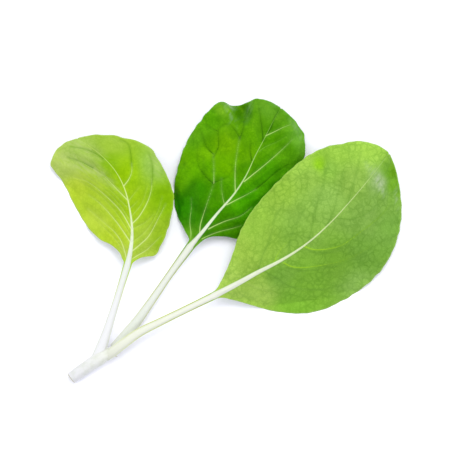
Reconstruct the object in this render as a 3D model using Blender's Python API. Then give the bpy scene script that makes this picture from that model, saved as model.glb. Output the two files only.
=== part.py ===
"""A young bok choy lying on a table: a short cut stem with three leaves spread from it like fingers.

Each leaf grew as one piece, a pale stalk that runs on as the midrib of its blade, so each leaf is
one object. The left and middle leaves lie with their upper face up. The right one lies across the
middle one with its under face, and so its raised midrib, up.
The long way of the plant is X, the surface it lies on is z = 0, and all sizes below are millimetres.
"""
import bmesh
import bpy
import numpy as np

MM = 0.001

# Driving dimensions
BLADE_THICKNESS = 0.6
GAP = 0.3                       # clear space that a stalk keeps to the stem it grew on
CENTRE_SHIFT = (0.0, 0.8, 0.0)  # puts the middle of the whole plant over the origin

STALK_RIB = 0.8                 # how far a stalk's middle stands above and below its thin sides
TIP_RIB_HALF_WIDTH = 0.4
BLADE_OPENS = 0.16              # share of the blade's length over which the stalk becomes a blade
S_SHARE = 0.75                  # how much the blade's fall to its margins is an S, not straight

# How finely each piece is divided, and how much its rows and columns crowd
STALK_ROWS = 11
BLADE_ROWS = 24
HALF_COLUMNS = 8
BLADE_CROWDING = 1.5
TIP_CROWDING = 1.5
TIP_END = 0.995                 # the blade stops a hair short of the point where its curves meet
STEM_SIDES = 16
STEM_ROWS = 7

# A stem point is x, y and radius. The stem lies on the surface, so its radius gives its height.
STEM = [(-51.5, -46.3, 2.0), (-46.5, -42.7, 2.05), (-41.5, -39.4, 2.25), (-37.8, -36.9, 2.35),
        (-35.6, -35.3, 2.0)]

# In each leaf a stalk point is x, y, z and half width, from the foot to the start of the blade.
# The midrib runs on from there to the tip, and the two margins run from the stalk's sides to the tip.
LEFT_LEAF = {
    "stalk": [(-43.2, -40.8, 2.2, 2.0), (-41.6, -36.8, 2.6, 1.9), (-39.6, -31.0, 3.2, 1.5),
              (-37.2, -23.5, 3.8, 1.25), (-34.6, -15.2, 4.6, 1.2), (-32.5, -8.4, 5.4, 1.35)],
    "midrib": [(-32.5, -8.4, 5.4), (-31.3, -2.6, 6.6), (-30.9, 3.0, 7.6), (-31.5, 9.0, 8.4),
               (-33.1, 16.0, 8.8), (-36.1, 22.0, 8.4), (-40.2, 26.7, 7.0), (-44.6, 30.3, 5.2),
               (-49.5, 33.4, 3.0)],
    "left": [(-33.8, -8.9, 5.2), (-34.8, -4.9, 4.6), (-37.7, -2.1, 3.4), (-41.6, -0.2, 2.4),
             (-45.6, 3.6, 0.8), (-49.3, 9.3, -0.8), (-52.0, 14.7, -0.8), (-54.8, 19.9, 0.8),
             (-57.2, 22.8, 2.0), (-58.1, 24.7, 2.4), (-56.4, 29.1, 2.8), (-53.5, 31.8, 3.0),
             (-49.5, 33.4, 3.0)],
    "right": [(-31.1, -8.9, 5.2), (-28.9, -6.5, 4.8), (-26.2, -5.8, 3.6), (-24.2, -5.6, 2.6),
              (-23.4, -5.2, 2.4), (-22.8, -4.2, 2.5), (-20.7, 0.0, 3.2), (-18.5, 6.6, 4.0),
              (-17.5, 13.6, 4.4), (-19.2, 19.7, 4.8), (-22.8, 26.6, 4.8), (-24.6, 29.4, 4.5),
              (-27.3, 31.3, 4.2), (-32.5, 33.2, 3.6), (-38.5, 34.3, 3.2), (-44.5, 34.4, 3.0),
              (-49.5, 33.4, 3.0)],
    "arch": 0.6, "rib_up": 0.15, "rib_down": 0.75,
}
MIDDLE_LEAF = {
    "stalk": [(-36.9, -36.6, 1.9, 2.1), (-33.2, -32.2, 1.9, 2.0), (-28.9, -26.5, 2.2, 1.55),
              (-23.9, -19.4, 2.8, 1.3), (-18.5, -11.6, 3.5, 1.2), (-11.4, -1.9, 4.3, 1.5)],
    "midrib": [(-11.4, -1.9, 4.3), (-8.9, 1.0, 4.6), (-3.0, 8.3, 4.9), (2.7, 14.9, 4.9),
               (6.6, 20.9, 4.7), (9.6, 27.3, 4.5), (12.9, 33.6, 4.2), (15.9, 39.5, 3.4),
               (18.3, 43.5, 2.4)],
    "left": [(-12.7, -1.0, 4.2), (-13.4, 2.4, 3.0), (-15.8, 7.3, 0.4), (-17.2, 13.0, -0.4),
             (-16.7, 19.9, 1.6), (-14.6, 27.8, 3.8), (-11.6, 34.2, 5.0), (-7.3, 40.3, 5.2),
             (-3.3, 44.5, 4.2), (-0.7, 45.4, 3.2), (1.7, 44.3, 1.8), (4.3, 44.3, 1.2),
             (7.3, 45.3, 2.4), (10.0, 46.4, 3.0), (14.3, 45.6, 2.8), (18.3, 43.5, 2.4)],
    "right": [(-10.1, -2.9, 4.2), (-7.6, -0.3, 4.0), (-4.3, 0.9, 3.4), (0.0, 0.8, 2.8),
              (4.7, 0.3, 2.2), (9.6, 3.7, 1.7), (15.3, 9.6, 1.4), (20.6, 17.0, 1.4),
              (24.3, 22.9, 1.6), (26.2, 29.2, 2.2), (25.4, 35.2, 2.7), (22.2, 39.8, 2.6),
              (18.3, 43.5, 2.4)],
    "arch": 0.5, "rib_up": 0.15, "rib_down": 0.75,
}
RIGHT_LEAF = {
    "stalk": [(-40.2, -39.2, 2.4, 1.6), (-37.6, -37.4, 3.9, 1.7), (-34.7, -35.2, 4.9, 1.65),
              (-29.0, -31.1, 5.1, 1.5), (-21.5, -27.3, 5.0, 1.3), (-12.5, -22.9, 5.3, 1.2),
              (-3.9, -18.7, 6.1, 1.3)],
    "midrib": [(-3.9, -18.7, 6.1), (3.0, -15.1, 7.4), (10.5, -10.9, 8.8), (18.0, -7.0, 9.9),
               (25.5, -2.2, 10.7), (33.4, 4.6, 11.1), (40.6, 12.3, 10.6), (46.9, 19.6, 9.0),
               (51.0, 24.7, 7.2), (54.0, 28.4, 5.2)],
    "left": [(-4.5, -17.5, 6.2), (-2.0, -14.8, 6.6), (0.5, -9.8, 6.9), (2.6, -4.2, 6.9),
             (5.0, 2.7, 6.6), (8.9, 9.4, 6.1), (14.5, 16.0, 5.7), (20.5, 22.0, 5.5),
             (25.7, 26.3, 5.6), (31.4, 29.6, 5.5), (38.6, 31.4, 5.2), (44.6, 32.2, 5.0),
             (49.9, 31.0, 5.0), (54.0, 28.4, 5.2)],
    "right": [(-3.3, -19.9, 5.9), (0.3, -19.7, 5.0), (7.0, -21.4, 2.6), (14.6, -23.7, -0.2),
              (22.7, -24.8, -1.4), (30.7, -23.9, -1.4), (38.3, -20.7, -0.6), (45.9, -15.8, 0.8),
              (51.8, -9.8, 2.2), (55.3, -3.8, 2.4), (57.6, 3.7, 2.4), (58.2, 8.6, 2.3),
              (57.7, 15.6, 2.6), (56.1, 23.4, 3.8), (54.0, 28.4, 5.2)],
    "arch": 0.6, "rib_up": 0.55, "rib_down": 0.35,
}

# Name, colour (linear), roughness
FINISHES = {
    "stem_flesh": ((0.82, 0.85, 0.78), 0.45),
    "left_leaf_green": ((0.31, 0.55, 0.02), 0.40),
    "middle_leaf_green": ((0.05, 0.27, 0.01), 0.38),
    "right_leaf_green": ((0.28, 0.50, 0.06), 0.50),
}


def clear_scene():
    for thing in list(bpy.data.objects):
        bpy.data.objects.remove(thing, do_unlink=True)


def finish(name):
    """A Principled material with the named finish's colour and roughness."""
    colour, roughness = FINISHES[name]
    material = bpy.data.materials.new(name)
    material.use_nodes = True
    shader = material.node_tree.nodes["Principled BSDF"]
    shader.inputs["Base Color"].default_value = (*colour, 1.0)
    shader.inputs["Roughness"].default_value = roughness
    shader.inputs["Metallic"].default_value = 0.0
    return material


def blend(a, b, start, end, where):
    """The point between a and b that belongs to where, for a at start and b at end."""
    share = (where - start) / (end - start)
    return (1 - share) * a + share * b


def smooth_step(share):
    share = min(max(share, 0.0), 1.0)
    return share * share * (3 - 2 * share)


class Curve:
    """A smooth curve through points (centripetal Catmull-Rom), read at 0 to 1 of its length."""

    STEPS = 12

    def __init__(self, points):
        points = np.array(points, dtype=float)
        padded = [2 * points[0] - points[1], *points, 2 * points[-1] - points[-2]]
        dense = []
        for corners in zip(padded, padded[1:], padded[2:], padded[3:]):
            dense += self.span(*corners)
        self.points = np.array(dense + [points[-1]])
        steps = np.linalg.norm(np.diff(self.points[:, :3], axis=0), axis=1)
        self.travelled = np.concatenate([[0.0], np.cumsum(steps)])

    def span(self, p0, p1, p2, p3):
        """Points from p1 up to p2."""
        t0 = 0.0
        t1 = t0 + np.sqrt(np.linalg.norm((p1 - p0)[:3]))
        t2 = t1 + np.sqrt(np.linalg.norm((p2 - p1)[:3]))
        t3 = t2 + np.sqrt(np.linalg.norm((p3 - p2)[:3]))
        found = []
        for t in np.linspace(t1, t2, self.STEPS, endpoint=False):
            early = blend(blend(p0, p1, t0, t1, t), blend(p1, p2, t1, t2, t), t0, t2, t)
            late = blend(blend(p1, p2, t1, t2, t), blend(p2, p3, t2, t3, t), t1, t3, t)
            found.append(blend(early, late, t1, t2, t))
        return found

    def at(self, share):
        where = share * self.travelled[-1]
        return np.array([np.interp(where, self.travelled, column) for column in self.points.T])

    def left(self, share):
        """The level unit direction to the left of the curve."""
        ahead = self.at(min(share + 0.01, 1.0)) - self.at(max(share - 0.01, 0.0))
        across = np.array([-ahead[1], ahead[0], 0.0])
        return across / np.linalg.norm(across)


def leaf_ring(centre, sides, rib_half_width, rib_up, rib_down, spreading, arch):
    """One closed cross-section of a leaf: its top from left to right, then its underside back.

    spreading is 0 in the stalk, whose columns sit round a lens shape, and 1 in the blade, whose
    columns crowd towards the midrib and whose surface falls to the margins in a long S.
    """
    top, under = [], []
    for column in range(-HALF_COLUMNS, HALF_COLUMNS + 1):
        share = abs(column) / HALF_COLUMNS
        out = blend(np.sin(share * np.pi / 2), share ** BLADE_CROWDING, 0, 1, spreading)
        across = (sides[0] if column < 0 else sides[1]) - centre
        place = centre + out * across
        place[2] = centre[2] + across[2] * blend(out, smooth_step(out), 0, 1, S_SHARE * spreading)
        place[2] += 4 * arch * spreading * out * (1 - out)
        off_rib = out * np.linalg.norm(across) / rib_half_width
        rib = np.sqrt(max(0.0, 1 - off_rib ** 2))
        low = max(0.0, place[2] - BLADE_THICKNESS / 2 - rib_down * rib)
        high = max(low + BLADE_THICKNESS, place[2] + BLADE_THICKNESS / 2 + rib_up * rib)
        top.append((place[0], place[1], high))
        under.append((place[0], place[1], low))
    return top + under[::-1]


def stalk_rings(plan):
    stalk = Curve(plan["stalk"])
    rings = []
    for row in range(STALK_ROWS):
        share = row / STALK_ROWS
        *centre, half_width = stalk.at(share)
        centre = np.array(centre)
        reach = half_width * stalk.left(share)
        rings.append(leaf_ring(centre, (centre + reach, centre - reach), half_width,
                               STALK_RIB, STALK_RIB, 0.0, 0.0))
    return rings


def blade_rings(plan):
    midrib, left, right = (Curve(plan[part]) for part in ("midrib", "left", "right"))
    start_half_width = plan["stalk"][-1][3]
    rings = []
    for row in range(BLADE_ROWS + 1):
        share = TIP_END * (1 - (1 - row / BLADE_ROWS) ** TIP_CROWDING)
        spreading = smooth_step(share / BLADE_OPENS)
        rib_half_width = blend(start_half_width, TIP_RIB_HALF_WIDTH, 0, 1, share)
        fade = 1 - share
        rib_up = blend(STALK_RIB, plan["rib_up"] * fade, 0, 1, spreading)
        rib_down = blend(STALK_RIB, plan["rib_down"] * fade, 0, 1, spreading)
        rings.append(leaf_ring(midrib.at(share), (left.at(share), right.at(share)),
                               rib_half_width, rib_up, rib_down, spreading,
                               plan["arch"] * np.sin(np.pi * share)))
    return rings


def stem_rings(margin=0.0):
    """The stem's round cross-sections, one flat side down, grown all round by the margin."""
    route = Curve(STEM)
    up = np.array([0.0, 0.0, 1.0])
    rings = []
    for row, share in enumerate(np.linspace(0, 1, STEM_ROWS)):
        x, y, radius = route.at(share)
        left = route.left(share)
        along = np.cross(left, up)
        overhang = {0: -margin, STEM_ROWS - 1: margin}.get(row, 0.0)
        centre = np.array([x, y, radius * np.cos(np.pi / STEM_SIDES)]) + overhang * along
        turns = 2 * np.pi * (np.arange(STEM_SIDES) + 0.5) / STEM_SIDES
        rings.append([centre + (radius + margin) * (np.sin(turn) * left - np.cos(turn) * up)
                      for turn in turns])
    return rings


def solid(name, rings, close_end, material):
    """A closed object through rings that all have the same number of points."""
    bm = bmesh.new()
    loops = []
    for ring in rings:
        loops.append([bm.verts.new(MM * (np.array(point) + CENTRE_SHIFT)) for point in ring])
    for lower, upper in zip(loops, loops[1:]):
        for i, corner in enumerate(lower):
            bm.faces.new((corner, lower[i - 1], upper[i - 1], upper[i]))
    close_end(bm, loops[0])
    close_end(bm, loops[-1])
    bmesh.ops.recalc_face_normals(bm, faces=bm.faces)
    bmesh.ops.triangulate(bm, faces=bm.faces)
    mesh = bpy.data.meshes.new(name)
    bm.to_mesh(mesh)
    bm.free()
    mesh.shade_smooth()
    if material:
        mesh.materials.append(material)
    body = bpy.data.objects.new(name, mesh)
    bpy.context.scene.collection.objects.link(body)
    return body


def flat_end(bm, loop):
    bm.faces.new(loop)


def strip_end(bm, loop):
    """Closes a leaf's end with a row of faces from its top edge to its underside."""
    half = len(loop) // 2
    top, under = loop[:half], loop[half:][::-1]
    for i in range(half - 1):
        bm.faces.new((top[i], top[i + 1], under[i + 1], under[i]))


def stem():
    """The short stem that the three stalks grew on, cut off square at its lower end."""
    return solid("stem", stem_rings(), flat_end, finish("stem_flesh"))


def stem_clearance():
    """A slightly fatter stem, which trims the stalks back from the real one."""
    cutter = solid("stem_clearance", stem_rings(GAP), flat_end, None)
    cutter.hide_render = True
    cutter.display_type = "WIRE"
    return cutter


def leaf(name, plan, clearance):
    body = solid(name, stalk_rings(plan) + blade_rings(plan), strip_end, finish(name + "_green"))
    trim = body.modifiers.new("trim_to_stem", "BOOLEAN")
    trim.operation = "DIFFERENCE"
    trim.solver = "EXACT"
    trim.object = clearance
    return body


def build():
    clear_scene()
    stem()
    clearance = stem_clearance()
    leaf("left_leaf", LEFT_LEAF, clearance)
    leaf("middle_leaf", MIDDLE_LEAF, clearance)
    leaf("right_leaf", RIGHT_LEAF, clearance)


build()
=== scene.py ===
"""A young bok choy, picked whole and lying on a pale table top.

One cut stem carries three slender stalks, and each stalk runs on as the midrib of an oval blade.
The left and middle leaves lie with their upper face up. The right one lies across the middle one
with its under face up, so its midrib stands proud. Lengths are millimetres until a mesh is made.
"""
import math

import bmesh
import bpy
import numpy as np
from mathutils import Matrix


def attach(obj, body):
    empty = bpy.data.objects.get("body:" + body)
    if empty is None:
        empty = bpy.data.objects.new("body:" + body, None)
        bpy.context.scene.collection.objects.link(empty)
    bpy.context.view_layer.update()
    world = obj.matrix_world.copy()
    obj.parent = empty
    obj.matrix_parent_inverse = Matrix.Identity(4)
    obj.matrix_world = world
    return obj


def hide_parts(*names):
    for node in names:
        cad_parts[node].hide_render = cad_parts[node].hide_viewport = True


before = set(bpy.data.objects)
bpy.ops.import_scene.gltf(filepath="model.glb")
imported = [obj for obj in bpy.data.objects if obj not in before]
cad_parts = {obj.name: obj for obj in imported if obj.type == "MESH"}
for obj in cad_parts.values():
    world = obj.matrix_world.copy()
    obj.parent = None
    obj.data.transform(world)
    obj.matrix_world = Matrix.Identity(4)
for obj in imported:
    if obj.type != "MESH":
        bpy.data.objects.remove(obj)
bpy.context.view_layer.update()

MM = 0.001
CENTRE_SHIFT = np.array([0.0, 0.8, 0.0])   # puts the middle of the whole plant over the origin

# How a leaf is built up
BLADE_THICKNESS = 0.45
EDGE_THICKNESS = 0.16
LIP = 0.2                    # the soft thin edge reaches this far past the blade's margin
EDGE_ROUNDING = 0.7          # the blade thins to its rounded edge over this much of its margin
STALK_RIB = 0.8              # a stalk's middle stands this far above and below its thin wings
RIB_SHARE = 0.78             # how much of a stalk's width its round white middle takes
BLADE_OPENS = 0.16           # share of the blade's length over which the stalk becomes a blade
S_SHARE = 0.75               # how much the blade's fall to its margins is an S, not straight
VEIN_TAPER = 1.15            # a vein is lost in the tissue just before its last point
TABLE_CLEARANCE = 0.03
TISSUE_SHADE = 0.77          # colour codes are tones in full light; this share of them is the plant's

# The unevenness of a blade
ROLL_LENGTH = 9.0
ROLL_HEIGHT = 0.22
DIMPLE_LENGTH = 3.2
DIMPLE_HEIGHT = 0.03
WAVE_LENGTH = 6.0
WAVE_MARGIN = 4.0            # the margin's waves die out this far inside it
SCALLOP_LENGTH = 4.0
PILLOW_REACH = 2.4           # puffed tissue has two thirds of its height this far from a vein
PUFF_MARGIN = 2.5            # it is flat at the margin and fully puffed this far inside it
GROOVE_REACH = 0.22          # a large vein's own relief is down to a third this far beside it
RIB_FADING = 1.2             # the midrib's height falls with this power of the way left to the tip
NO_VEIN_NEAR = 9.0

# The net of fine veins
NET_WANDER = 2.6             # its walls wander over this length, by up to half of it either way
FINE_CELL = 0.8

# How finely each leaf is divided, and how much its rows and columns crowd
STALK_ROWS = 48
BLADE_ROWS = 240
COLUMNS = 150
BLADE_CROWDING = 1.25
TIP_CROWDING = 1.5
TIP_END = 0.995

# A stem point is x, y and radius. The stem lies on the table, so its radius gives its height.
STEM = [(-51.5, -46.3, 2.0), (-46.5, -42.7, 2.05), (-41.5, -39.4, 2.25), (-37.8, -36.9, 2.35),
        (-35.6, -35.3, 2.0)]
SCAR = np.array([-37.6, -38.7, 1.7])          # where a torn sliver of an older stalk is left
SCAR_REACH = np.array([1.4, -0.4, -0.2])
SCAR_APART = 10                               # keeps its corners apart from the stem's at first
STEM_FLUTES = [(5, 0.025, 1.0), (13, 0.012, 0.0)]   # how many, share of the radius, start in radians
CUT_LOSS = 0.075             # share of its radius that the stem lacks at its cut end
CUT_LOSS_REACH = 0.02        # share of the stem over which most of that comes back
TOP_TAPER = 0.62             # share of its radius that it loses between the stalks
TOP_TAPER_START = 0.55
CUT_HOLLOW = 0.35            # how far the cut face is sunk in its middle
TOP_BULGE = 0.9

# In each leaf a stalk point is x, y, z and half width, from the foot to the start of the blade.
# The midrib runs on from there to the tip, with the half width of its white rib, and the margins
# run from the stalk's sides to the tip.
# A vein is a kind, a half width and the points it runs through; the darkest kind is painted shade
# along sunken creases and beside raised veins. A swell is the middle of a rise or a dip: x, y, the
# angle of its long way in degrees, its two reaches, and its height. A patch is a place, a reach and a
# colour, mostly the tissue's own tone, in some places painted sheen and in others painted shade. A
# whitened place is shaped like a swell, and its height is how strongly the leaf is whitened there,
# by its waxy bloom and by painted sheen.
# "arch" is how far the blade bows up between its midrib and its margins, "rib_up" and "rib_down"
# are how far the midrib stands out above and below, "vein_relief" is how far a large vein rises, or
# sinks if it is negative, and "puff" is the same for the tissue between veins. "scallop" and "wave"
# are how uneven the margin is, in outline and in height.
LEFT_LEAF = {
    "stalk": [(-43.2, -40.8, 2.2, 2.0), (-41.6, -36.8, 2.6, 1.9), (-39.6, -31.0, 3.2, 1.5),
              (-37.2, -23.5, 3.8, 1.25), (-34.6, -15.2, 4.6, 1.2), (-32.5, -8.4, 5.4, 1.35)],
    "midrib": [(-32.5, -8.4, 5.4, 1.01), (-31.3, -2.6, 6.6, 0.67), (-30.9, 3.0, 7.6, 0.44),
               (-31.5, 9.0, 8.4, 0.28), (-33.1, 16.0, 8.8, 0.19), (-36.1, 22.0, 8.4, 0.12),
               (-40.2, 26.7, 7.0, 0.09), (-44.6, 30.3, 5.2, 0.07), (-49.5, 33.4, 3.0, 0.05)],
    "left": [(-33.8, -8.9, 5.2), (-34.8, -4.9, 4.6), (-37.7, -2.1, 3.4), (-41.6, -0.2, 2.4),
             (-45.6, 3.6, 0.8), (-49.3, 9.3, -0.8), (-52.0, 14.7, -0.8), (-54.8, 19.9, 0.8),
             (-57.2, 22.8, 2.0), (-58.1, 24.7, 2.4), (-56.4, 29.1, 2.8), (-53.5, 31.8, 3.0),
             (-49.5, 33.4, 3.0)],
    "right": [(-31.1, -8.9, 5.2), (-28.9, -6.5, 4.8), (-26.2, -5.8, 3.6), (-24.2, -5.6, 2.6),
              (-23.4, -5.2, 2.4), (-22.8, -4.2, 2.5), (-20.7, 0.0, 3.2), (-18.5, 6.6, 4.0),
              (-17.5, 13.6, 4.4), (-19.2, 19.7, 4.8), (-22.8, 26.6, 4.8), (-24.6, 29.4, 4.5),
              (-27.3, 31.3, 4.2), (-32.5, 33.2, 3.6), (-38.5, 34.3, 3.2), (-44.5, 34.4, 3.0),
              (-49.5, 33.4, 3.0)],
    "arch": 0.6, "rib_up": 0.10, "rib_down": 0.75, "vein_relief": -0.16, "puff": 0.32,
    "scallop": 0.13, "wave": 0.35,
    "veins": [
        ("pale", 0.12, [(-32.5, -8.0), (-34.5, -1.0), (-37.0, 2.5), (-40.0, 5.0), (-46.0, 10.0)]),
        ("pale", 0.15, [(-31.5, -1.0), (-36.0, 5.5), (-42.0, 12.0), (-45.5, 14.5)]),
        ("pale", 0.15, [(-31.0, 3.0), (-34.5, 9.0), (-40.0, 14.5), (-46.0, 19.0), (-50.5, 20.5)]),
        ("faint", 0.12, [(-32.5, 10.5), (-35.0, 13.0), (-38.0, 16.0), (-42.0, 19.0)]),
        ("pale", 0.12, [(-32.5, 13.0), (-36.0, 16.5), (-40.5, 21.0), (-48.0, 25.5)]),
        ("dark", 0.14, [(-44.0, 23.5), (-48.0, 25.5), (-52.5, 27.0)]),
        ("dark", 0.15, [(-40.5, 26.5), (-43.5, 28.5), (-47.5, 30.0), (-51.5, 30.5)]),
        ("pale", 0.11, [(-31.3, -6.8), (-29.0, -5.3), (-26.5, -3.8), (-24.5, -2.0), (-21.5, 1.0)]),
        ("pale", 0.16, [(-30.7, -3.8), (-28.0, -1.5), (-25.5, 1.0), (-22.0, 7.5), (-20.0, 11.5)]),
        ("pale", 0.15, [(-30.7, 5.2), (-28.5, 7.5), (-25.5, 13.0), (-24.5, 17.0), (-24.5, 20.0)]),
        ("dark", 0.14, [(-24.5, 18.0), (-24.2, 21.0), (-24.5, 25.5), (-25.5, 28.5)]),
        ("faint", 0.11, [(-30.5, 3.5), (-26.5, 5.5), (-23.5, 8.5)]),
        ("faint", 0.12, [(-32.0, 12.5), (-30.5, 14.5), (-28.5, 17.0)]),
        ("faint", 0.11, [(-31.5, 10.0), (-29.0, 12.5)]),
        ("faint", 0.10, [(-31.2, 1.0), (-36.5, 9.0), (-43.0, 15.5), (-48.5, 19.0)]),
        ("faint", 0.10, [(-33.0, -5.0), (-37.5, 0.8), (-43.5, 6.5)]),
        ("faint", 0.10, [(-31.4, 6.0), (-36.0, 12.5), (-41.0, 17.0), (-46.0, 20.5)]),
        ("faint", 0.10, [(-30.7, -1.0), (-26.5, 2.5), (-22.5, 9.0), (-21.0, 14.0)]),
        ("faint", 0.10, [(-31.0, 7.5), (-27.5, 12.0), (-25.8, 17.5)]),
        ("pale", 0.12, [(-33.5, 17.5), (-32.0, 19.5), (-31.0, 22.0), (-31.0, 25.0)]),
        ("dark", 0.15, [(-31.0, 24.0), (-31.5, 28.5), (-32.5, 31.5), (-35.0, 33.0)]),
    ],
    "swells": [
        (-46.0, 27.0, 150, 9.0, 1.6, 0.5), (-46.0, 29.6, 160, 8.0, 1.2, -0.5),
        (-43.0, 22.0, 140, 9.0, 1.5, -0.4), (-51.0, 22.5, 155, 6.0, 1.5, 0.35),
        (-27.5, 26.0, 80, 6.0, 2.2, 0.5), (-21.5, 20.0, 110, 7.0, 1.5, 0.45),
    ],
    # whitened places: waxy bloom, and painted sheen where the blade curves down near the tip and margins
    "bloom_and_sheen_places": [
        (-48.5, 24.5, 150, 8.0, 2.2, 0.50), (-40.0, 20.5, 135, 7.0, 1.3, 0.38),
        (-47.0, 30.0, 155, 7.0, 1.8, 0.42), (-23.3, 25.0, 115, 5.0, 1.6, 0.38),
        (-56.0, 24.5, 60, 3.0, 1.5, 0.30),
    ],
    # Mostly the tissue's own tone. b8d065, aac960 and a0c052 near the tip are painted sheen where the
    # blade curves down, and 86b90a by the right margin is painted shade where it turns away from the
    # light.
    "tone_sheen_and_shade_patches": [
        (-33.0, 12.0, 9.0, "9cc514"), (-44.0, 6.0, 6.0, "c2db46"), (-36.5, 0.5, 5.0, "c2de34"),
        (-50.0, 16.0, 5.5, "c4dc3e"), (-45.0, 13.0, 5.0, "b0d032"), (-54.5, 24.0, 5.0, "b8d065"),
        (-50.0, 28.5, 3.5, "aac960"), (-44.5, 27.5, 3.0, "a0c052"), (-38.0, 31.0, 3.5, "9fc240"),
        (-38.0, 25.8, 2.5, "88b810"), (-33.0, 22.0, 4.5, "93c108"), (-23.5, 24.5, 3.0, "9cc655"),
        (-20.0, 14.0, 3.5, "86b90a"), (-27.0, 0.0, 3.0, "b0cf44"), (-22.0, 0.0, 3.0, "9ac224"),
        (-27.0, -4.5, 2.5, "b8d54a"), (-34.0, -5.0, 2.5, "bbd54e"),
    ],
}
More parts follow.
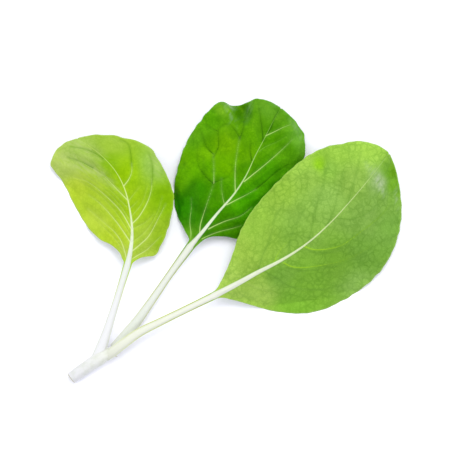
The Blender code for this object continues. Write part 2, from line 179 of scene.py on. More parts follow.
MIDDLE_LEAF = {
    "stalk": [(-36.9, -36.6, 1.9, 2.1), (-33.2, -32.2, 1.9, 2.0), (-28.9, -26.5, 2.2, 1.55),
              (-23.9, -19.4, 2.8, 1.3), (-18.5, -11.6, 3.5, 1.2), (-11.4, -1.9, 4.3, 1.5)],
    "midrib": [(-11.4, -1.9, 4.3, 0.94), (-8.9, 1.0, 4.6, 0.70), (-3.0, 8.3, 4.9, 0.43),
               (2.7, 14.9, 4.9, 0.29), (6.6, 20.9, 4.7, 0.20), (9.6, 27.3, 4.5, 0.14),
               (12.9, 33.6, 4.2, 0.11), (15.9, 39.5, 3.4, 0.07), (18.3, 43.5, 2.4, 0.05)],
    "left": [(-12.7, -1.0, 4.2), (-13.4, 2.4, 3.0), (-15.8, 7.3, 0.4), (-17.2, 13.0, -0.4),
             (-16.7, 19.9, 1.6), (-14.6, 27.8, 3.8), (-11.6, 34.2, 5.0), (-7.3, 40.3, 5.2),
             (-3.3, 44.5, 4.2), (-0.7, 45.4, 3.2), (1.7, 44.3, 1.8), (4.3, 44.3, 1.2),
             (7.3, 45.3, 2.4), (10.0, 46.4, 3.0), (14.3, 45.6, 2.8), (18.3, 43.5, 2.4)],
    "right": [(-10.1, -2.9, 4.2), (-7.6, -0.3, 4.0), (-4.3, 0.9, 3.4), (0.0, 0.8, 2.8),
              (4.7, 0.3, 2.2), (9.6, 3.7, 1.7), (15.3, 9.6, 1.4), (20.6, 17.0, 1.4),
              (24.3, 22.9, 1.6), (26.2, 29.2, 2.2), (25.4, 35.2, 2.7), (22.2, 39.8, 2.6),
              (18.3, 43.5, 2.4)],
    "arch": 0.5, "rib_up": 0.10, "rib_down": 0.75, "vein_relief": -0.16, "puff": 0.62,
    "scallop": 0.14, "wave": 0.30,
    "veins": [
        ("pale", 0.12, [(-12.2, -2.5), (-11.6, 1.5), (-12.0, 5.5), (-11.5, 10.5), (-11.5, 13.5)]),
        ("pale", 0.17, [(-8.7, 1.3), (-8.5, 4.5), (-7.5, 8.0), (-5.5, 14.0), (-4.0, 18.5)]),
        ("pale", 0.12, [(-4.0, 18.5), (-4.0, 23.0), (-4.2, 28.0)]),
        ("dark", 0.14, [(-4.2, 27.0), (-2.5, 30.5), (-2.5, 36.0), (-1.0, 37.5), (1.0, 38.0)]),
        ("dark", 0.15, [(-4.2, 18.2), (-7.0, 21.0), (-9.0, 24.0), (-9.5, 27.0), (-9.5, 30.5)]),
        ("dark", 0.15, [(-4.2, 28.0), (-6.5, 30.5), (-7.5, 33.0), (-8.5, 36.0)]),
        ("dark", 0.13, [(-2.5, 35.5), (-4.5, 36.5), (-7.0, 38.0)]),
        ("dark", 0.15, [(-4.3, 18.6), (-1.5, 19.6), (0.7, 20.5)]),
        ("pale", 0.10, [(-0.5, 11.5), (-1.0, 13.5), (-1.5, 17.0), (-1.5, 20.0)]),
        ("pale", 0.16, [(3.1, 15.3), (3.0, 19.0), (3.1, 24.0), (3.6, 28.0), (4.5, 33.5)]),
        ("dark", 0.15, [(4.5, 33.0), (5.5, 36.0), (6.2, 40.0), (7.2, 44.0)]),
        ("dark", 0.14, [(4.5, 33.5), (3.0, 36.0), (1.0, 38.0)]),
        ("dark", 0.15, [(12.3, 32.5), (12.0, 36.0), (11.5, 39.5), (11.0, 43.0)]),
        ("dark", 0.13, [(8.5, 26.0), (8.0, 29.0), (8.0, 32.5)]),
        ("dark", 0.16, [(13.5, 34.5), (15.0, 37.0), (16.0, 40.0), (17.5, 42.5)]),
        ("pale", 0.10, [(-8.0, 0.0), (-6.0, 1.0), (-2.0, 2.5), (2.0, 3.5), (5.0, 4.5)]),
        ("pale", 0.15, [(-5.8, 3.3), (-3.5, 4.5), (0.0, 6.0), (5.0, 7.7), (8.5, 10.5)]),
        ("pale", 0.14, [(0.3, 11.3), (3.5, 13.0), (6.5, 14.5), (10.0, 16.5)]),
        ("dark", 0.14, [(9.5, 16.2), (13.0, 19.0), (16.5, 22.0), (20.5, 24.5)]),
        ("pale", 0.15, [(6.0, 19.0), (8.5, 21.0), (14.0, 25.5), (19.5, 30.5), (22.0, 33.0)]),
        ("faint", 0.12, [(11.0, 29.0), (13.0, 30.5), (16.5, 32.0), (20.0, 34.0)]),
        ("pale", 0.11, [(13.2, 34.2), (16.0, 35.5), (19.0, 37.0), (21.5, 38.0)]),
    ],
    "swells": [
        (5.2, 42.5, 95, 5.0, 2.0, -1.1), (1.8, 42.5, 130, 4.5, 1.5, 0.9),
        (9.5, 42.0, 60, 4.0, 2.5, 0.5), (-6.5, 24.5, 80, 3.5, 2.0, 0.3),
        (-10.0, 12.0, 110, 5.0, 3.0, 0.3), (20.5, 34.0, 60, 4.0, 2.0, 0.4),
    ],
    # whitened places: painted highlights on the ridges of the fold by the notch and along the right
    # margin, with some waxy bloom
    "bloom_and_sheen_places": [
        (1.0, 41.6, 118, 3.6, 0.6, 0.55), (2.6, 39.0, 30, 1.6, 0.5, 0.35),
        (7.6, 42.6, 75, 3.0, 0.9, 0.30), (23.6, 36.0, 120, 4.5, 0.9, 0.35),
        (16.5, 44.6, 150, 3.0, 0.6, 0.25),
    ],
    # Mostly the tissue's own tone. 5fa414 at the upper left and 6cad31 at the right margin are painted
    # sheen, and 4f9000 in the fold by the notch is painted shade.
    "tone_sheen_and_shade_patches": [
        (6.5, 23.0, 2.2, "4a9200"), (0.5, 24.5, 2.6, "6db000"), (7.0, 36.0, 2.2, "62a606"),
        (-13.5, 10.0, 4.5, "2c9002"), (-8.0, 8.5, 4.5, "308201"),
        (-9.5, 16.0, 3.0, "358902"), (-15.0, 20.5, 2.5, "6eb806"), (-13.0, 26.5, 2.5, "6aae05"),
        (-7.0, 23.5, 2.5, "62ab04"), (-6.0, 28.5, 2.5, "70b205"), (0.0, 31.0, 3.5, "72ad04"),
        (-10.5, 33.5, 3.0, "5fa414"), (-5.5, 39.5, 3.5, "58a208"), (-1.0, 43.5, 1.8, "72ad20"),
        (4.8, 42.5, 2.5, "4f9000"), (9.5, 39.5, 3.5, "5a9c0c"), (13.5, 43.5, 2.5, "62a024"),
        (6.0, 28.0, 2.5, "6aab04"), (15.5, 32.5, 3.0, "509802"), (20.0, 30.0, 3.0, "59a00b"),
        (24.3, 33.0, 2.0, "6cad31"), (0.0, 17.5, 3.0, "509d03"), (14.0, 19.0, 6.0, "469c02"),
        (7.0, 12.0, 5.0, "46a401"), (0.0, 3.0, 3.5, "469001"), (-12.0, 1.5, 2.0, "5ea21c"),
        (-4.5, 12.0, 3.0, "469401"),
    ],
}
RIGHT_LEAF = {
    "stalk": [(-40.2, -39.2, 2.4, 1.6), (-37.6, -37.4, 3.9, 1.7), (-34.7, -35.2, 4.9, 1.65),
              (-29.0, -31.1, 5.1, 1.5), (-21.5, -27.3, 5.0, 1.3), (-12.5, -22.9, 5.3, 1.2),
              (-3.9, -18.7, 6.1, 1.3)],
    "midrib": [(-3.9, -18.7, 6.1, 1.10), (3.0, -15.1, 7.4, 0.91), (10.5, -10.9, 8.8, 0.71),
               (18.0, -7.0, 9.9, 0.50), (25.5, -2.2, 10.7, 0.33), (33.4, 4.6, 11.1, 0.23),
               (40.6, 12.3, 10.6, 0.17), (46.9, 19.6, 9.0, 0.13), (51.0, 24.7, 7.2, 0.09),
               (54.0, 28.4, 5.2, 0.05)],
    "left": [(-4.5, -17.5, 6.2), (-2.0, -14.8, 6.6), (0.5, -9.8, 6.9), (2.6, -4.2, 6.9),
             (5.0, 2.7, 6.6), (8.9, 9.4, 6.1), (14.5, 16.0, 5.7), (20.5, 22.0, 5.5),
             (25.7, 26.3, 5.6), (31.4, 29.6, 5.5), (38.6, 31.4, 5.2), (44.6, 32.2, 5.0),
             (49.9, 31.0, 5.0), (54.0, 28.4, 5.2)],
    "right": [(-3.3, -19.9, 5.9), (0.3, -19.7, 5.0), (7.0, -21.4, 2.6), (14.6, -23.7, -0.2),
              (22.7, -24.8, -1.4), (30.7, -23.9, -1.4), (38.3, -20.7, -0.6), (45.9, -15.8, 0.8),
              (51.8, -9.8, 2.2), (55.3, -3.8, 2.4), (57.6, 3.7, 2.4), (58.2, 8.6, 2.3),
              (57.7, 15.6, 2.6), (56.1, 23.4, 3.8), (54.0, 28.4, 5.2)],
    "arch": 0.6, "rib_up": 0.50, "rib_down": 0.25, "vein_relief": 0.10, "puff": -0.15,
    "scallop": 0.10, "wave": 0.40,
    "veins": [
        ("lime", 0.17, [(25.5, -2.3), (28.5, -3.4), (33.0, -3.3), (38.0, -2.0), (44.5, 2.5),
                        (51.0, 7.5), (54.0, 11.0)]),
        ("lime", 0.17, [(19.0, -7.8), (21.5, -9.0), (25.0, -9.4), (29.0, -9.0), (36.0, -7.8),
                        (42.5, -5.5), (47.0, -3.0)]),
        ("dark", 0.15, [(37.0, -2.3), (40.5, -0.5), (44.5, 2.5), (51.0, 7.5), (54.5, 11.5)]),
        ("dark", 0.15, [(33.0, -8.4), (36.0, -7.8), (42.5, -5.5), (47.5, -2.5)]),
        ("dark", 0.13, [(26.0, -3.2), (29.0, -4.3), (33.5, -4.2), (38.5, -2.9), (45.0, 1.6)]),
        ("dark", 0.13, [(20.0, -9.4), (25.0, -10.3), (29.5, -9.9), (36.5, -8.7), (43.0, -6.4)]),
        ("dark", 0.14, [(13.0, -10.8), (17.0, -13.0), (21.0, -15.5), (26.5, -16.5), (33.0, -16.5),
                        (39.0, -15.0)]),
        ("faint", 0.12, [(6.5, -14.3), (12.0, -16.5), (17.5, -18.5)]),
        ("lime", 0.13, [(15.5, -8.2), (17.0, -4.8), (19.0, -2.0), (21.5, 0.5)]),
        ("dark", 0.14, [(20.5, -5.2), (21.0, -0.5), (23.0, 4.5), (25.5, 9.5)]),
        ("dark", 0.14, [(27.0, -1.0), (28.5, 5.5), (30.0, 11.5), (32.0, 17.5), (33.0, 23.0)]),
        ("dark", 0.13, [(40.0, 12.0), (41.5, 17.5), (43.0, 22.5), (44.5, 28.5)]),
        ("dark", 0.13, [(10.5, -10.6), (12.0, -5.5), (14.5, 0.0), (16.0, 6.0), (19.0, 12.0)]),
        ("dark", 0.13, [(33.0, 4.5), (35.5, 10.0), (37.0, 16.0), (39.0, 22.0)]),
        ("dark", 0.13, [(36.0, 7.0), (41.0, 6.5), (47.0, 9.0), (52.0, 13.0)]),
    ],
    "swells": [
        (30.6, 24.6, 60, 2.6, 1.8, -0.9), (30.0, 21.5, 20, 5.0, 2.5, 0.35),
        (51.3, 18.5, 105, 5.5, 1.6, 0.7), (54.4, 21.5, 95, 3.0, 1.5, -0.9),
        (51.0, 11.5, 140, 4.0, 1.6, -0.4), (44.5, 29.5, 10, 6.0, 2.0, 0.4),
    ],
    # whitened places: painted sheen on the fold near the tip and on the right margin, with some waxy bloom
    "bloom_and_sheen_places": [
        (50.6, 18.4, 110, 4.0, 1.1, 0.50), (47.5, 22.5, 120, 3.0, 1.0, 0.25),
        (56.6, 14.0, 95, 4.0, 0.8, 0.25),
    ],
    # Mostly the tissue's own tone. a0be7c near the tip is painted sheen and 6ca518 beside it is painted
    # shade in a fold; the darker 76a840 and 79ac36 of the lower half are painted shade where it turns away
    # from the light.
    "tone_sheen_and_shade_patches": [
        (26.0, 6.0, 8.0, "8cb84f"), (2.0, -12.0, 4.0, "b4d662"), (5.0, -4.0, 4.0, "a0c64d"),
        (10.0, 5.0, 4.0, "98c448"), (18.0, 16.0, 4.5, "9ac449"), (26.0, 24.5, 3.0, "a2ce52"),
        (30.8, 24.6, 1.4, "9ed62a"), (34.0, 23.5, 2.5, "8cbc4a"), (28.0, 21.5, 2.5, "96c050"),
        (37.0, 28.5, 3.5, "9cca4c"), (46.0, 29.5, 4.0, "a8d555"), (54.2, 21.5, 1.8, "6ca518"),
        (55.3, 17.5, 2.0, "74ad24"), (54.0, 13.5, 2.0, "86b648"), (50.8, 18.5, 1.8, "a0be7c"),
        (52.0, 13.0, 3.5, "83af4c"),
        (55.0, 4.0, 4.5, "7eb049"), (46.0, -5.0, 5.0, "76a840"), (36.0, -7.0, 6.0, "79ac36"),
        (27.0, -14.0, 6.0, "82b83a"), (22.0, -21.5, 4.0, "86bf3c"), (11.0, -19.0, 4.0, "aed45a"),
        (44.0, -15.5, 3.0, "8fbc58"), (46.0, 8.0, 5.0, "86b150"), (41.0, 19.0, 5.0, "90b850"),
        (34.0, 13.0, 5.0, "90bb57"), (21.5, 1.5, 2.5, "83b144"), (13.0, -1.0, 4.0, "93bd47"),
        (6.5, -11.0, 4.0, "95bb4a"), (18.0, -12.0, 3.0, "7eb042"),
    ],
}


# ---------------------------------------------------------------- colour and nodes

def colour(code, alpha=1.0):
    """An sRGB hex code as linear colour."""
    parts = [int(code[i:i + 2], 16) / 255 for i in (0, 2, 4)]
    linear = [c / 12.92 if c <= 0.04045 else ((c + 0.055) / 1.055) ** 2.4 for c in parts]
    return (*linear, alpha)


def new_material(name):
    material = bpy.data.materials.new(name)
    material.use_nodes = True
    return material, material.node_tree, material.node_tree.nodes["Principled BSDF"]


def add(tree, kind, settings=None, **links):
    """One node with its settings and its inputs; an input given as a socket is linked."""
    node = tree.nodes.new("ShaderNode" + kind)
    for name, value in (settings or {}).items():
        setattr(node, name, value)
    for name, value in links.items():
        socket = node.inputs[int(name[1:])] if name[0] == "i" and name[1:].isdigit() \
            else node.inputs[name.replace("_", " ")]
        if isinstance(value, bpy.types.NodeSocket):
            tree.links.new(value, socket)
        else:
            socket.default_value = value
    return node


def field(tree, name, output="Fac"):
    """A number, or with the output "Color" a colour, that the mesh carries at its points."""
    return add(tree, "Attribute", {"attribute_name": name}).outputs[output]


def noise(tree, places, size, detail):
    """Soft random mottling about size millimetres across."""
    return add(tree, "TexNoise", Vector=places, Scale=1 / (size * MM), Detail=detail).outputs[0]


def fade(tree, value, start, end, low=0.0, high=1.0):
    """Runs smoothly from low to high while the value goes from start to end."""
    node = add(tree, "MapRange", {"interpolation_type": "SMOOTHSTEP"}, Value=value,
               From_Min=start, From_Max=end, To_Min=low, To_Max=high)
    return node.outputs["Result"]


def times(tree, a, b):
    return add(tree, "Math", {"operation": "MULTIPLY"}, i0=a, i1=b).outputs[0]


def mixed(tree, share, a, b, how="MIX"):
    node = add(tree, "Mix", {"data_type": "RGBA", "blend_type": how}, i0=share, i6=a, i7=b)
    return node.outputs[2]


def shaded(tree, tone):
    return mixed(tree, 1.0, tone, (TISSUE_SHADE,) * 3 + (1.0,), "MULTIPLY")


def ramp(tree, value, stops):
    node = add(tree, "ValToRGB", i0=value)
    band = node.color_ramp.elements
    while len(band) < len(stops):
        band.new(0.5)
    for element, (place, code) in zip(band, stops):
        element.position = place
        element.color = colour(code)
    return node.outputs[0]


# ---------------------------------------------------------------- curves and surfaces

def blend(a, b, start, end, where):
    share = (where - start) / (end - start)
    return (1 - share) * a + share * b


def smooth_step(share):
    share = np.clip(share, 0.0, 1.0)
    return share * share * (3 - 2 * share)


class Curve:
    """A smooth curve through points (centripetal Catmull-Rom), read at 0 to 1 of its length."""

    STEPS = 12

    def __init__(self, points):
        points = np.array(points, dtype=float)
        padded = [2 * points[0] - points[1], *points, 2 * points[-1] - points[-2]]
        dense = []
        for corners in zip(padded, padded[1:], padded[2:], padded[3:]):
            dense += self.span(*corners)
        self.points = np.array(dense + [points[-1]])
        steps = np.linalg.norm(np.diff(self.points[:, :3], axis=0), axis=1)
        self.travelled = np.concatenate([[0.0], np.cumsum(steps)])

    def span(self, p0, p1, p2, p3):
        """Points from p1 up to p2."""
        t0 = 0.0
        t1 = t0 + np.sqrt(np.linalg.norm((p1 - p0)[:3]))
        t2 = t1 + np.sqrt(np.linalg.norm((p2 - p1)[:3]))
        t3 = t2 + np.sqrt(np.linalg.norm((p3 - p2)[:3]))
        found = []
        for t in np.linspace(t1, t2, self.STEPS, endpoint=False):
            early = blend(blend(p0, p1, t0, t1, t), blend(p1, p2, t1, t2, t), t0, t2, t)
            late = blend(blend(p1, p2, t1, t2, t), blend(p2, p3, t2, t3, t), t1, t3, t)
            found.append(blend(early, late, t1, t2, t))
        return found

    def at(self, shares):
        where = np.asarray(shares) * self.travelled[-1]
        return np.stack([np.interp(where, self.travelled, c) for c in self.points.T], axis=-1)

    def left(self, shares):
        """The level unit directions to the left of the curve."""
        ahead = self.at(np.minimum(shares + 0.01, 1.0)) - self.at(np.maximum(shares - 0.01, 0.0))
        across = np.stack([-ahead[..., 1], ahead[..., 0], 0 * ahead[..., 0]], axis=-1)
        return across / np.linalg.norm(across, axis=-1, keepdims=True)


def gap_to_line(xy, line, half_width, taper):
    """How far each point is outside a line that narrows along its way."""
    start, end = line[:-1], line[1:]
    run = end - start
    best = np.full(len(xy), np.inf)
    count = len(run)
    for i in range(count):
        share = np.clip((xy - start[i]) @ run[i] / (run[i] @ run[i]), 0, 1)
        distance = np.hypot(*(xy - start[i] - share[:, None] * run[i]).T)
        width = half_width * (1 - taper * (i + share) / count)
        best = np.minimum(best, distance - width)
    return best


def ripples(xy, wavelength, seed, waves=6):
    """Soft uneven undulation, mostly between -1 and 1."""
    random = np.random.default_rng(seed)
    total = np.zeros(len(xy))
    for turn, phase, stretch in random.uniform(0, 1, (waves, 3)):
        direction = np.array([math.cos(2 * math.pi * turn), math.sin(2 * math.pi * turn)])
        reach = 2 * math.pi / (wavelength * (0.7 + 0.6 * stretch))
        total += np.sin(xy @ direction * reach + 2 * math.pi * phase)
    return total / math.sqrt(waves)


def swell(xy, x, y, angle, long_reach, short_reach, height):
    turn = math.radians(angle)
    offset = xy - (x, y)
    lengthwise = offset @ (math.cos(turn), math.sin(turn))
    crosswise = offset @ (-math.sin(turn), math.cos(turn))
    return height * np.exp(-(lengthwise / long_reach) ** 2 - (crosswise / short_reach) ** 2)


def painted(xy, tone_sheen_and_shade_patches):
    """Colour laid in as soft patches that run into each other."""
    total = np.zeros((len(xy), 4))
    weights = np.zeros(len(xy))
    for x, y, reach, code in tone_sheen_and_shade_patches:
        weight = reach ** 2 / (((xy - (x, y)) ** 2).sum(1) + 0.5 * reach ** 2) ** 2
        total += weight[:, None] * np.array(colour(code))
        weights += weight
    return total / weights[:, None]


# ---------------------------------------------------------------- leaves

def slab(columns, rows):
    """A flat slab: x from -1 to 1 across, y from 0 to 1 along, z 0 for its underside and 1 for its top."""
    bm = bmesh.new()
    bmesh.ops.create_grid(bm, x_segments=columns, y_segments=rows, size=1.0)
    bmesh.ops.translate(bm, verts=bm.verts, vec=(0, 1, 0))
    bmesh.ops.scale(bm, verts=bm.verts, vec=(1, 0.5, 1))
    raised = bmesh.ops.extrude_face_region(bm, geom=bm.faces[:], use_keep_orig=True)["geom"]
    top = [part for part in raised if isinstance(part, bmesh.types.BMVert)]
    bmesh.ops.translate(bm, verts=top, vec=(0, 0, 1))
    bmesh.ops.recalc_face_normals(bm, faces=bm.faces)
    return bm


def corners_of(mesh):
    flat = np.empty(3 * len(mesh.vertices))
    mesh.vertices.foreach_get("co", flat)
    return flat.reshape(-1, 3)


def place_corners(mesh, places):
    mesh.vertices.foreach_set("co", (MM * (places + CENTRE_SHIFT)).ravel())
    mesh.update()


def give_field(mesh, name, values):
    mesh.attributes.new(name, "FLOAT", "POINT").data.foreach_set("value", values)


def give_colours(mesh, name, values):
    mesh.attributes.new(name, "FLOAT_COLOR", "POINT").data.foreach_set("color", values.ravel())


def link(name, mesh, material):
    mesh.materials.append(material)
    mesh.shade_smooth()
    thing = bpy.data.objects.new(name, mesh)
    bpy.context.scene.collection.objects.link(thing)
    return thing


def leaf_sheet(plan, across, along, seed):
    """Where a leaf's middle surface is, before any relief, and what lies there."""
    split = STALK_ROWS / (STALK_ROWS + BLADE_ROWS)
    in_blade = along >= split - 1e-6
    stalk, midrib, left, right = (Curve(plan[k]) for k in ("stalk", "midrib", "left", "right"))
    stalk_share = np.clip(along / split, 0, 1)
    row = np.clip((along - split) / (1 - split), 0, 1)
    share = TIP_END * (1 - (1 - row) ** TIP_CROWDING)
    stalk_point = stalk.at(stalk_share)
    half_width = stalk_point[:, 3]
    rib_point = midrib.at(share)
    centre = np.where(in_blade[:, None], rib_point[:, :3], stalk_point[:, :3])
    level_left = np.where(in_blade[:, None], midrib.left(share), stalk.left(stalk_share))
    side = np.where(across < 0, 1.0, -1.0)
    stalk_edge = centre + (side * half_width)[:, None] * level_left
    margin = np.where((across < 0)[:, None], left.at(share), right.at(share))
    outward = (margin - centre) / np.linalg.norm(margin - centre, axis=1, keepdims=True)
    scallops = plan["scallop"] * ripples(margin[:, :2], SCALLOP_LENGTH, seed)
    scallops *= smooth_step(share / 0.15)
    margin = margin + (scallops * smooth_step((1 - share) / 0.1) + LIP)[:, None] * outward
    joined = smooth_step(share / 0.05)[:, None]
    edge = np.where(in_blade[:, None], blend(stalk_edge, margin, 0, 1, joined), stalk_edge)
    spreading = np.where(in_blade, smooth_step(share / BLADE_OPENS), 0.0)
    column = np.abs(across)
    out = blend(np.sin(column * np.pi / 2), column ** BLADE_CROWDING, 0, 1, spreading)
    reach = edge - centre
    place = centre + out[:, None] * reach
    fall = blend(out, smooth_step(out), 0, 1, S_SHARE * spreading)
    arch = plan["arch"] * np.sin(np.pi * share)
    place[:, 2] = centre[:, 2] + reach[:, 2] * fall + 4 * arch * spreading * out * (1 - out)
    width = np.hypot(reach[:, 0], reach[:, 1])
    rib_half_width = blend(RIB_SHARE * half_width, rib_point[:, 3], 0, 1, in_blade)
    return {"place": place, "off_rib": out * width, "rib_half_width": rib_half_width,
            "edge": (1 - out) * width, "spreading": spreading, "share": share,
            "along": np.where(in_blade, share, stalk_share - 1)}


def vein_gaps(plan, xy):
    """For each kind of vein, how far each point is outside the nearest one."""
    gaps = {kind: np.full(len(xy), NO_VEIN_NEAR) for kind in ("pale", "faint", "dark", "lime")}
    for kind, half_width, points in plan["veins"]:
        line = Curve([(*point, 0.0) for point in points]).points[::3, :2]
        gaps[kind] = np.minimum(gaps[kind], gap_to_line(xy, line, half_width, VEIN_TAPER))
    return gaps


def blade_relief(plan, sheet, gaps, seed):
    """How far the tissue rises or sinks from the leaf's middle surface."""
    xy = sheet["place"][:, :2]
    to_vein = np.maximum(np.minimum.reduce(list(gaps.values())), 0)
    to_rib = np.maximum(sheet["off_rib"] - sheet["rib_half_width"], 0)
    pillow = 1 - np.exp(-(np.minimum(to_vein, to_rib) / PILLOW_REACH) ** 2)
    relief = plan["puff"] * pillow * smooth_step(sheet["edge"] / PUFF_MARGIN)
    relief += plan["vein_relief"] * np.exp(-(to_vein / GROOVE_REACH) ** 2)
    relief += ROLL_HEIGHT * ripples(xy, ROLL_LENGTH, seed)
    relief += DIMPLE_HEIGHT * ripples(xy, DIMPLE_LENGTH, seed + 1)
    near_margin = 1 - smooth_step(sheet["edge"] / WAVE_MARGIN)
    relief += plan["wave"] * ripples(xy, WAVE_LENGTH, seed + 2) * near_margin
    relief += sum(swell(xy, *shape) for shape in plan["swells"])
    return relief * sheet["spreading"]


def leaf_mesh(name, plan, seed):
    bm = slab(COLUMNS, STALK_ROWS + BLADE_ROWS)
    mesh = bpy.data.meshes.new(name)
    bm.to_mesh(mesh)
    bm.free()
    across, along, face = corners_of(mesh).T
    sheet = leaf_sheet(plan, across, along, seed)
    place = sheet["place"]
    xy = place[:, :2]
    gaps = vein_gaps(plan, xy)
    middle = place[:, 2] + blade_relief(plan, sheet, gaps, seed)
    upper = face > 0.5
    off_rib = sheet["off_rib"] / np.maximum(sheet["rib_half_width"], 1e-3)
    lift = np.where(upper, plan["rib_up"], plan["rib_down"]) * (1 - sheet["share"]) ** RIB_FADING
    lift = blend(STALK_RIB, lift, 0, 1, sheet["spreading"]) * np.sqrt(np.clip(1 - off_rib ** 2, 0, 1))
    rounding = np.sqrt(np.clip(sheet["edge"] / EDGE_ROUNDING, 0, 1))
    half_thickness = blend(EDGE_THICKNESS, BLADE_THICKNESS, 0, 1, rounding) / 2
    low = np.maximum(TABLE_CLEARANCE, middle - half_thickness - lift)
    high = np.maximum(low + 2 * half_thickness, middle + half_thickness + lift)
    place[:, 2] = np.where(upper, high, low)
    place_corners(mesh, place)
    for kind, gap in gaps.items():
        give_field(mesh, kind + "_gap", np.clip(gap, -2, 6))
    give_field(mesh, "rib_gap", sheet["off_rib"] - sheet["rib_half_width"])
    for part in ("edge", "along", "spreading"):
        give_field(mesh, part, sheet[part])
    # how strongly the leaf is whitened: waxy bloom and painted sheen
    give_field(mesh, "bloom_and_sheen", sum(swell(xy, *shape) for shape in plan["bloom_and_sheen_places"]))
    # the tissue's tone laid in as patches, with painted sheen and painted shade in a few
    give_colours(mesh, "tone_sheen_and_shade", painted(xy, plan["tone_sheen_and_shade_patches"]))
    return mesh


def vein_net(tree, places, looks):
    """The net of fine veins: how far its walls are, and how strongly its two kinds of wall show."""
    wander = add(tree, "TexNoise", Vector=places, Scale=1 / (NET_WANDER * MM), Detail=3.0)
    bent = add(tree, "VectorMath", {"operation": "SCALE"}, i0=wander.outputs["Color"],
               Scale=NET_WANDER * MM)
    moved = add(tree, "VectorMath", {"operation": "ADD"}, i0=places, i1=bent.outputs[0])
    net, fine_net = (add(tree, "TexVoronoi", {"feature": "DISTANCE_TO_EDGE"},
                         Vector=moved.outputs[0], Scale=1 / (cell * MM)).outputs["Distance"]
                     for cell in (looks["cell"], FINE_CELL))
    showing = fade(tree, noise(tree, places, 5.0, 2.0), 0.2, 0.62)
    walls = times(tree, fade(tree, net, 0.0, 0.22, 1.0, 0.0), showing)
    return net, walls, fade(tree, fine_net, 0.0, 0.2, 1.0, 0.0)


def bloom_and_sheen_share(tree, places, looks):
    """Whitening by the waxy bloom and by painted sheen, worn into fine streaks along the veins."""
    turned = add(tree, "Mapping", {"vector_type": "TEXTURE"}, Vector=places,
                 Rotation=(0, 0, math.radians(looks["streak_angle"])), Scale=(7 * MM, MM, MM))
    streaks = add(tree, "TexNoise", Vector=turned.outputs[0], Scale=1.3, Detail=3.0).outputs[0]
    return times(tree, field(tree, "bloom_and_sheen"), fade(tree, streaks, 0.32, 0.62))


def with_veins(tree, flesh, looks):
    """Lays the large veins over the tissue, each with a soft halo, then the blade's lighter rim."""
    # the darkest kind of vein and its halo are painted shade in the creases and beside raised veins
    for kind, (code, strength, halo) in looks["veins"].items():
        gap = field(tree, kind + "_gap")
        flesh = mixed(tree, fade(tree, gap, 0.0, 0.9, halo, 0.0), flesh, colour(code))
        flesh = mixed(tree, fade(tree, gap, -0.08, 0.13, strength, 0.0), flesh, colour(code))
    rim = fade(tree, field(tree, "edge"), 0.0, 0.7, looks["rim"], 0.0)
    return mixed(tree, rim, flesh, colour(looks["rim_colour"]))


def with_stalk(tree, flesh, looks):
    """Lays the stalk's thin wings over the tissue, then the white rib of stalk and midrib."""
    along = add(tree, "Math", {"operation": "MULTIPLY_ADD"}, i0=field(tree, "along"), i1=0.5,
                i2=0.5).outputs[0]
    wings = fade(tree, field(tree, "spreading"), 0.0, 0.3, 1.0, 0.0)
    flesh = mixed(tree, wings, flesh, ramp(tree, along, looks["wings"]))
    rib = fade(tree, field(tree, "rib_gap"), -0.16, 0.08, 1.0, 0.0)
    return mixed(tree, rib, flesh, ramp(tree, along, looks["rib"]))


def leaf_surface(name, looks):
    """Living leaf, grown as a waxy skin over wet green tissue.

    It gives the eye a clean satin sheen, colour that drifts in soft patches with painted sheen and
    painted shade in a few, a fine net of veins about 2 mm across, larger veins that are paler, painted
    shade along the creases, and streaks of waxy bloom with painted sheen.
    """
    material, tree, shader = new_material(name)
    places = add(tree, "TexCoord").outputs["Object"]
    net, walls, fine_walls = vein_net(tree, places, looks)
    cloud = noise(tree, places, 4.0, 4.0)
    # the tissue's tone, with painted sheen and painted shade in a few of its patches
    flesh = field(tree, "tone_sheen_and_shade", "Color")
    for part, share, code in (
            (fade(tree, cloud, 0.35, 0.7), looks["cloud"], looks["cloud_colour"]),
            (walls, looks["net"], looks["net_colour"]),
            (fine_walls, looks["fine_net"], looks["net_colour"])):
        flesh = mixed(tree, times(tree, part, share), flesh, colour(code), "MULTIPLY")
    # whitening in streaks: waxy bloom, and painted sheen where the blade turns toward the light
    flesh = mixed(tree, bloom_and_sheen_share(tree, places, looks), flesh, colour(looks["bloom_and_sheen_colour"]))
    flesh = with_stalk(tree, with_veins(tree, flesh, looks), looks)
    tree.links.new(shaded(tree, flesh), shader.inputs["Base Color"])
    roughness = fade(tree, cloud, 0.3, 0.7, looks["roughness"] - 0.05, looks["roughness"] + 0.07)
    tree.links.new(roughness, shader.inputs["Roughness"])
    shader.inputs["IOR"].default_value = 1.42
    shader.inputs["Specular IOR Level"].default_value = looks["specular"]
    shader.inputs["Specular Tint"].default_value = colour("e6ff48")
    # relief of the net and of the skin's own grain, tens of microns high
    pillow = times(tree, fade(tree, net, 0.0, 0.35), looks["net_relief"])
    grain = times(tree, noise(tree, places, 0.5, 3.0), 0.12)
    height = add(tree, "Math", {"operation": "ADD"}, i0=pillow, i1=grain).outputs[0]
    bump = add(tree, "Bump", Height=height, Strength=0.5, Distance=0.08 * MM)
    tree.links.new(bump.outputs[0], shader.inputs["Normal"])
    return material


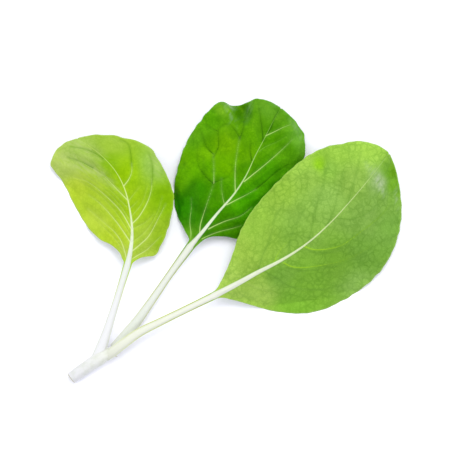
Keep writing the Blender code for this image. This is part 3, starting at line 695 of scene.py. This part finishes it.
# "cell" is the width of the vein net's cells. "cloud", "net", "fine_net" and "rim" are how strongly
# each shows, "net_relief" is how much the tissue bulges inside a cell, and "streak_angle" is the way
# the streaks of bloom and painted sheen run, in degrees. A kind of vein has its colour, its strength
# and its halo's; for the darkest kind the colour and halo are painted shade in and beside the creases.
# "rib" and "wings" are the colours along the white rib and along the stalk's thin sides, from the
# foot at 0, past the start of the blade at 0.5, to the tip at 1.
LEFT_LOOKS = {
    "cell": 1.7, "cloud": 0.32, "cloud_colour": "d4e29c", "net": 0.28, "net_colour": "c4d68c",
    "fine_net": 0.14, "rim": 0.35, "rim_colour": "c4de6a", "roughness": 0.42, "specular": 0.16,
    "net_relief": 0.4, "streak_angle": 145, "bloom_and_sheen_colour": "b8c87e",
    "veins": {"faint": ("cfe67e", 0.32, 0.04), "dark": ("5f9010", 0.65, 0.28),
              "pale": ("dff09c", 0.85, 0.06)},
    "rib": [(0.0, "f1f1f3"), (0.3, "f0f1f1"), (0.5, "eaefe6"), (0.6, "e4efcc"), (0.75, "d6e98e"),
            (1.0, "c0dc62")],
    "wings": [(0.0, "eef0ec"), (0.25, "e6eadc"), (0.38, "dbe6a8"), (0.5, "b0d640"),
              (1.0, "b0d640")],
}
MIDDLE_LOOKS = {
    "cell": 1.5, "cloud": 0.6, "cloud_colour": "b4d088", "net": 0.30, "net_colour": "a8c890",
    "fine_net": 0.2, "rim": 0.25, "rim_colour": "7dba2e", "roughness": 0.36, "specular": 0.18,
    "net_relief": 0.7, "streak_angle": 60, "bloom_and_sheen_colour": "8cb078",
    "veins": {"faint": ("7fb83e", 0.45, 0.06), "dark": ("1f5a04", 0.82, 0.18),
              "pale": ("bfe080", 0.90, 0.05)},
    "rib": [(0.0, "e3e8dc"), (0.25, "e9ede4"), (0.5, "e8ecde"), (0.6, "dde8cc"), (0.8, "b4d67e"),
            (1.0, "7ab43a")],
    "wings": [(0.0, "eceee6"), (0.12, "e4e8d4"), (0.25, "cdd49a"), (0.4, "b8c670"),
              (0.5, "6ea62c"), (1.0, "5ea21c")],
}
RIGHT_LOOKS = {
    "cell": 2.2, "cloud": 0.35, "cloud_colour": "dfe8c8", "net": 0.36, "net_colour": "a0c088",
    "fine_net": 0.22, "rim": 0.35, "rim_colour": "b4d86a", "roughness": 0.55, "specular": 0.25,
    "net_relief": 0.6, "streak_angle": 50, "bloom_and_sheen_colour": "bccdac",
    "veins": {"faint": ("a8c95c", 0.45, 0.06), "dark": ("5f9030", 0.55, 0.24),
              "lime": ("9bcc2c", 0.95, 0.04)},
    "rib": [(0.0, "e9ebdc"), (0.3, "ecefdf"), (0.5, "eceee2"), (0.62, "e2eace"), (0.8, "c6da94"),
            (0.92, "b0cc7c"), (1.0, "9cc26a")],
    "wings": [(0.0, "ecefe2"), (0.12, "e2e8c0"), (0.28, "ccd980"), (0.42, "b4c84c"),
              (0.5, "a6ca50"), (1.0, "a9cd5b")],
}


def leaf(name, node, plan, looks, seed):
    thing = link(name, leaf_mesh(name, plan, seed), leaf_surface(name + "_skin", looks))
    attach(thing, "root")
    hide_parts(node)


# ---------------------------------------------------------------- stem

def stem_mesh():
    """The cut stem: a round rod, swollen where the stalks grow from it, with a cut lower end."""
    bm = bmesh.new()
    bmesh.ops.create_cone(bm, segments=64, radius1=1.0, radius2=1.0, depth=1.0, cap_ends=True)
    lengthwise = [e for e in bm.edges if abs(e.verts[0].co.z - e.verts[1].co.z) > 0.5]
    bmesh.ops.subdivide_edges(bm, edges=lengthwise, cuts=60, use_grid_fill=False)
    caps = [f for f in bm.faces if abs(f.normal.z) > 0.9]
    for inset in (0.06, 0.12, 0.3, 0.3):
        bmesh.ops.inset_region(bm, faces=caps, thickness=inset)
    bmesh.ops.create_cone(bm, segments=16, radius1=1.0, radius2=0.15, depth=1.0, cap_ends=True,
                          matrix=Matrix.Translation((0, 0, SCAR_APART)))
    mesh = bpy.data.meshes.new("cut_stem")
    bm.to_mesh(mesh)
    bm.free()
    corners = corners_of(mesh)
    scar = corners[:, 2] > 1
    sliver = corners[scar] - (0, 0, SCAR_APART)
    share = np.clip(corners[:, 2] + 0.5, 0, 1)
    turn = np.arctan2(corners[:, 1], corners[:, 0])
    out = np.hypot(corners[:, 0], corners[:, 1])
    route = Curve(STEM)
    point = route.at(share)
    left = route.left(share)
    up = np.array([0.0, 0.0, 1.0])
    radius = point[:, 2]
    flute = 1 + sum(depth * np.cos(count * turn + start) for count, depth, start in STEM_FLUTES)
    ends = 1 - CUT_LOSS * np.exp(-share / CUT_LOSS_REACH)
    ends -= TOP_TAPER * smooth_step((share - TOP_TAPER_START) / (1 - TOP_TAPER_START))
    reach = radius * ends * flute * out
    centre = np.stack([point[:, 0], point[:, 1], radius], axis=1)
    places = centre + reach[:, None] * (np.sin(turn)[:, None] * left - np.cos(turn)[:, None] * up)
    along = np.cross(left, up)
    at_end = share < 1e-4
    hollow = np.where(at_end, CUT_HOLLOW * (1 - out ** 2), 0.0)
    bulge = np.where(share > 1 - 1e-4, TOP_BULGE * (1 - out ** 2), 0.0)
    places += (hollow + bulge)[:, None] * along
    places[scar] = SCAR + sliver * (0.75, 0.4, 0) + (sliver[:, 2:] + 0.5) * SCAR_REACH
    places[scar, 2] += sliver[:, 0] * 0.3
    places[:, 2] = np.maximum(places[:, 2], TABLE_CLEARANCE)
    place_corners(mesh, places)
    give_field(mesh, "share", share)
    give_field(mesh, "out", out)
    give_field(mesh, "cut", (at_end | scar).astype(float))
    return mesh


def stem_surface():
    """Stem flesh, grown wet and white-green, and cut through with a knife.

    It gives the eye a cool satin white with fine ribs along it, and a drier, browner cut face.
    """
    material, tree, shader = new_material("stem_flesh_skin")
    places = add(tree, "TexCoord").outputs["Object"]
    share = field(tree, "share")
    base = ramp(tree, share, [(0.0, "e4e4e7"), (0.4, "e8e9e6"), (1.0, "e9ecdc")])
    cloud = noise(tree, places, 2.0, 4.0)
    base = mixed(tree, fade(tree, cloud, 0.4, 0.7, 0.0, 0.35), base, colour("dfe6cf"), "MULTIPLY")
    face = ramp(tree, field(tree, "out"), [(0.0, "e9e6cf"), (0.55, "e3e2c4"), (0.72, "cdd0a0"),
                                           (0.85, "dfdfc0"), (1.0, "b9b27a")])
    base = mixed(tree, field(tree, "cut"), base, face)
    tree.links.new(shaded(tree, base), shader.inputs["Base Color"])
    shader.inputs["Roughness"].default_value = 0.42
    shader.inputs["Specular IOR Level"].default_value = 0.4
    turned = add(tree, "Mapping", Vector=places, Rotation=(0, 0, math.radians(-34.5)),
                 Scale=(1 / (9.0 * MM), 1 / (0.35 * MM), 1 / (0.35 * MM)))
    streaks = add(tree, "TexNoise", Vector=turned.outputs[0], Scale=1.0, Detail=3.0).outputs[0]
    bump = add(tree, "Bump", Height=streaks, Strength=0.4, Distance=0.1 * MM)
    tree.links.new(bump.outputs[0], shader.inputs["Normal"])
    return material


def cut_stem():
    thing = link("cut_stem", stem_mesh(), stem_surface())
    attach(thing, "root")
    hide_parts("stem")


# ---------------------------------------------------------------- table, light and camera

def table():
    """A white board, sprayed matt: it gives the eye a plain ground, soft shadows and no shine."""
    bm = bmesh.new()
    bmesh.ops.create_grid(bm, x_segments=1, y_segments=1, size=2.0)
    mesh = bpy.data.meshes.new("table")
    bm.to_mesh(mesh)
    bm.free()
    material, _, shader = new_material("white_table")
    shader.inputs["Base Color"].default_value = colour("f8f8ff")
    shader.inputs["Roughness"].default_value = 0.8
    shader.inputs["Specular IOR Level"].default_value = 0.0
    link("table", mesh, material)


def soft_light(name, place, size, power, tint):
    light = bpy.data.lights.new(name, "AREA")
    light.size = size
    light.energy = power
    light.color = tint
    lamp = bpy.data.objects.new(name, light)
    bpy.context.scene.collection.objects.link(lamp)
    lamp.location = place
    lamp.rotation_euler = lamp.location.to_track_quat("Z", "Y").to_euler()


def lights():
    world = bpy.data.worlds.new("studio")
    bpy.context.scene.world = world
    world.use_nodes = True
    sky = world.node_tree.nodes["Background"]
    sky.inputs["Color"].default_value = (0.95, 0.96, 1.0, 1.0)
    sky.inputs["Strength"].default_value = 0.90
    soft_light("key", (0.15, 0.50, 0.75), 0.5, 4.2, (1.0, 0.99, 0.96))
    soft_light("left_fill", (-0.70, 0.10, 0.55), 0.6, 1.8, (0.95, 0.96, 1.0))
    soft_light("right_fill", (0.75, -0.05, 0.55), 0.6, 1.8, (0.95, 0.96, 1.0))


def camera():
    """Looks straight down on the plant through a long lens."""
    lens = bpy.data.cameras.new("camera")
    lens.lens = 135.0
    lens.sensor_width = 36.0
    lens.clip_start = 0.01
    eye = bpy.data.objects.new("camera", lens)
    bpy.context.scene.collection.objects.link(eye)
    eye.location = (0.0010, 0.0041, 0.573)
    bpy.context.scene.camera = eye
    bpy.context.scene.view_settings.view_transform = "Standard"


camera()
table()
lights()
leaf("young_leaf", "left_leaf", LEFT_LEAF, LEFT_LOOKS, 11)
leaf("dark_leaf", "middle_leaf", MIDDLE_LEAF, MIDDLE_LOOKS, 23)
leaf("turned_leaf", "right_leaf", RIGHT_LEAF, RIGHT_LOOKS, 37)
cut_stem()
